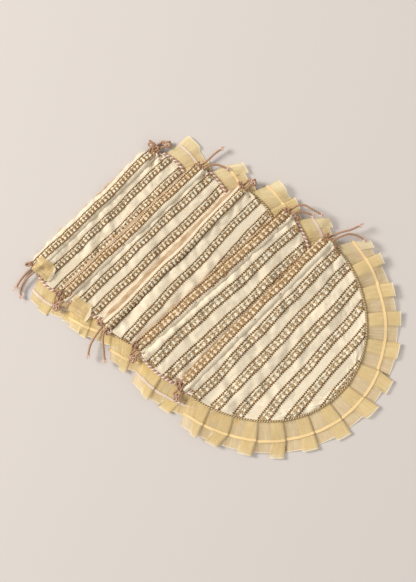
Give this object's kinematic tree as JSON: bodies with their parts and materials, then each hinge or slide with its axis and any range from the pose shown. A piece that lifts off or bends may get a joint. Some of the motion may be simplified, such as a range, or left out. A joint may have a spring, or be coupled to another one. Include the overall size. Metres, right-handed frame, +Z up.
{
  "type": "drawstring pouch set",
  "caption": "Half-moon striped cloth drawstring pouches with pleated organza frills, drawcords and braided seams, laid flat in an overlapping cascade",
  "frame": {"origin": "middle of the set on the floor it lies on, without the cords", "axes": "+Z up from the floor, +X along the mouths towards the side the top pouch cord leaves by, +Y across the cascade towards the pouch laid down first"},
  "size_m": [0.2975, 0.3466, 0.0151],
  "materials": {
    "striped_cloth": "woven cream cloth with lattice bands between dark brown stitched lines",
    "organza": "sheer gold organza in pressed knife pleats",
    "gold_ribbon": "narrow satin ribbon, stitched",
    "rose_braid": "twisted rose and copper braid",
    "gold_piping": "thin gold and brown twisted piping",
    "copper_cord": "copper brown satin cord",
    "cord_tip": "pale sealed knotted cord end"
  },
  "bodies": {
    "pouch_1": {"pouch_1_back_panel": "striped_cloth", "pouch_1_front_panel": "striped_cloth", "pouch_1_back_casing": "striped_cloth", "pouch_1_front_casing": "striped_cloth", "pouch_1_seam_braid": "rose_braid", "pouch_1_frill": "organza", "pouch_1_frill_ribbon": "gold_ribbon"},
    "pouch_2": {"pouch_2_back_panel": "striped_cloth", "pouch_2_front_panel": "striped_cloth", "pouch_2_back_casing": "striped_cloth", "pouch_2_front_casing": "striped_cloth", "pouch_2_seam_braid": "rose_braid", "pouch_2_frill": "organza", "pouch_2_frill_ribbon": "gold_ribbon"},
    "pouch_3": {"pouch_3_back_panel": "striped_cloth", "pouch_3_front_panel": "striped_cloth", "pouch_3_back_casing": "striped_cloth", "pouch_3_front_casing": "striped_cloth", "pouch_3_seam_braid": "gold_piping", "pouch_3_frill": "organza", "pouch_3_frill_ribbon": "gold_ribbon"},
    "pouch_4": {"pouch_4_back_panel": "striped_cloth", "pouch_4_front_panel": "striped_cloth", "pouch_4_back_casing": "striped_cloth", "pouch_4_front_casing": "striped_cloth", "pouch_4_seam_braid": "rose_braid", "pouch_4_frill": "organza", "pouch_4_frill_ribbon": "gold_ribbon"},
    "pouch_5": {"pouch_5_back_panel": "striped_cloth", "pouch_5_front_panel": "striped_cloth", "pouch_5_back_casing": "striped_cloth", "pouch_5_front_casing": "striped_cloth", "pouch_5_seam_braid": "gold_piping", "pouch_5_frill": "organza", "pouch_5_frill_ribbon": "gold_ribbon"},
    "pouch_1_cord": {"pouch_1_drawcord": "copper_cord", "pouch_1_cord_tip_a": "cord_tip", "pouch_1_cord_tip_b": "cord_tip"},
    "pouch_2_cord": {"pouch_2_drawcord": "copper_cord", "pouch_2_cord_tip_a": "cord_tip", "pouch_2_cord_tip_b": "cord_tip"},
    "pouch_3_cord": {"pouch_3_drawcord": "copper_cord", "pouch_3_cord_tip_a": "cord_tip", "pouch_3_cord_tip_b": "cord_tip"},
    "pouch_4_cord": {"pouch_4_drawcord": "copper_cord", "pouch_4_cord_tip_a": "cord_tip", "pouch_4_cord_tip_b": "cord_tip"},
    "pouch_5_cord": {"pouch_5_drawcord": "copper_cord", "pouch_5_cord_tip_a": "cord_tip", "pouch_5_cord_tip_b": "cord_tip"}
  },
  "joints": [
    {"name": "pouch_2_lift", "type": "slide", "parent": "pouch_1", "child": "pouch_2", "axis": [0, 0, 1], "range_m": [0, 0.06]},
    {"name": "pouch_3_lift", "type": "slide", "parent": "pouch_2", "child": "pouch_3", "axis": [0, 0, 1], "range_m": [0, 0.06]},
    {"name": "pouch_4_lift", "type": "slide", "parent": "pouch_3", "child": "pouch_4", "axis": [0, 0, 1], "range_m": [0, 0.06]},
    {"name": "pouch_5_lift", "type": "slide", "parent": "pouch_4", "child": "pouch_5", "axis": [0, 0, 1], "range_m": [0, 0.06]},
    {"name": "pouch_1_cord_pull", "type": "slide", "parent": "pouch_1", "child": "pouch_1_cord", "axis": [-1, 0.007, 0], "range_m": [0, 0.003]},
    {"name": "pouch_2_cord_pull", "type": "slide", "parent": "pouch_2", "child": "pouch_2_cord", "axis": [0.9997, -0.0244, 0], "range_m": [0, 0.003]},
    {"name": "pouch_3_cord_pull", "type": "slide", "parent": "pouch_3", "child": "pouch_3_cord", "axis": [-1, -0.0087, 0], "range_m": [0, 0.003]},
    {"name": "pouch_4_cord_pull", "type": "slide", "parent": "pouch_4", "child": "pouch_4_cord", "axis": [0.9991, -0.0419, 0], "range_m": [0, 0.003]},
    {"name": "pouch_5_cord_pull", "type": "slide", "parent": "pouch_5", "child": "pouch_5_cord", "axis": [0.9999, 0.0122, 0], "range_m": [0, 0.003]}
  ]
}
